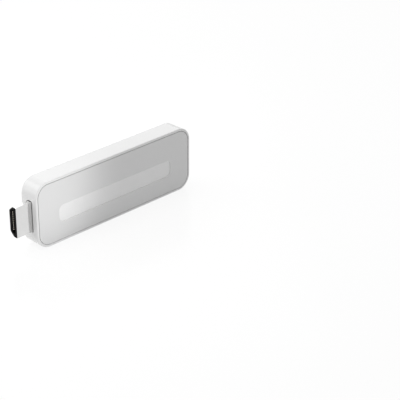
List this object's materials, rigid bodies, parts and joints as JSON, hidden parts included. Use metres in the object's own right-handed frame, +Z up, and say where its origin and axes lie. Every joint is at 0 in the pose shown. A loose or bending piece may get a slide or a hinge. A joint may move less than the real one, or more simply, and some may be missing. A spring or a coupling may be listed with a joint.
{
  "type": "streaming stick",
  "caption": "White streaming stick with an HDMI plug at one end, a flush glossy front cover with a shallow recessed band, a micro USB power inlet and a sprung reset button.",
  "frame": {"origin": "under the middle of the whole stick, plug included, on the long side that it stands on", "axes": "+X from the plug to the tail, +Y from the front cover to the back, +Z up"},
  "size_m": [0.0962, 0.01, 0.03],
  "materials": {
    "shell_white": "satin white moulding",
    "cover_gloss": "polished white moulding",
    "plug_metal": "bright nickel plate",
    "black_plastic": "moulded black",
    "contact_gold": "thin gold plate",
    "board_laminate": "solder mask over laminate",
    "screw_steel": "zinc plate",
    "chip_black": "moulded epoxy",
    "ferrite_grey": "ground ferrite",
    "ceramic_tan": "fired ceramic",
    "can_metal": "tinned sheet",
    "antenna_metal": "stamped nickel silver",
    "pad_soft": "soft silicone pad",
    "spreader_aluminium": "rolled sheet",
    "switch_plastic": "moulded",
    "led_white": "moulded package",
    "clear_plastic": "clear moulding"
  },
  "bodies": {
    "housing": {"rear_shell": "shell_white", "front_cover": "cover_gloss", "plug_shell": "plug_metal", "plug_insulator": "black_plastic", "plug_contacts": "contact_gold", "circuit_board": "board_laminate", "board_screws": "screw_steel", "processor": "chip_black", "memory_chips": "chip_black", "flash_chip": "chip_black", "power_chip": "chip_black", "power_inductors": "ferrite_grey", "capacitors": "ceramic_tan", "resistors": "chip_black", "plug_filters": "ceramic_tan", "crystal": "can_metal", "wireless_module": "board_laminate", "wireless_can": "can_metal", "antennas": "antenna_metal", "shield_frame": "can_metal", "shield_lid": "can_metal", "inner_thermal_pad": "pad_soft", "outer_thermal_pad": "pad_soft", "heat_spreader": "spreader_aluminium", "inlet_shell": "plug_metal", "inlet_tongue": "black_plastic", "inlet_contacts": "contact_gold", "switch_body": "switch_plastic", "switch_frame": "can_metal", "switch_dome": "can_metal", "status_led": "led_white", "light_pipe": "clear_plastic"},
    "reset_key": {"reset_button": "shell_white", "switch_plunger": "switch_plastic"}
  },
  "joints": [
    {"name": "reset_press", "type": "slide", "parent": "housing", "child": "reset_key", "axis": [-1, 0, 0], "range_m": [0, 0.0003], "stiffness_N_per_m": 3000, "deforming": ["switch_dome"]}
  ]
}
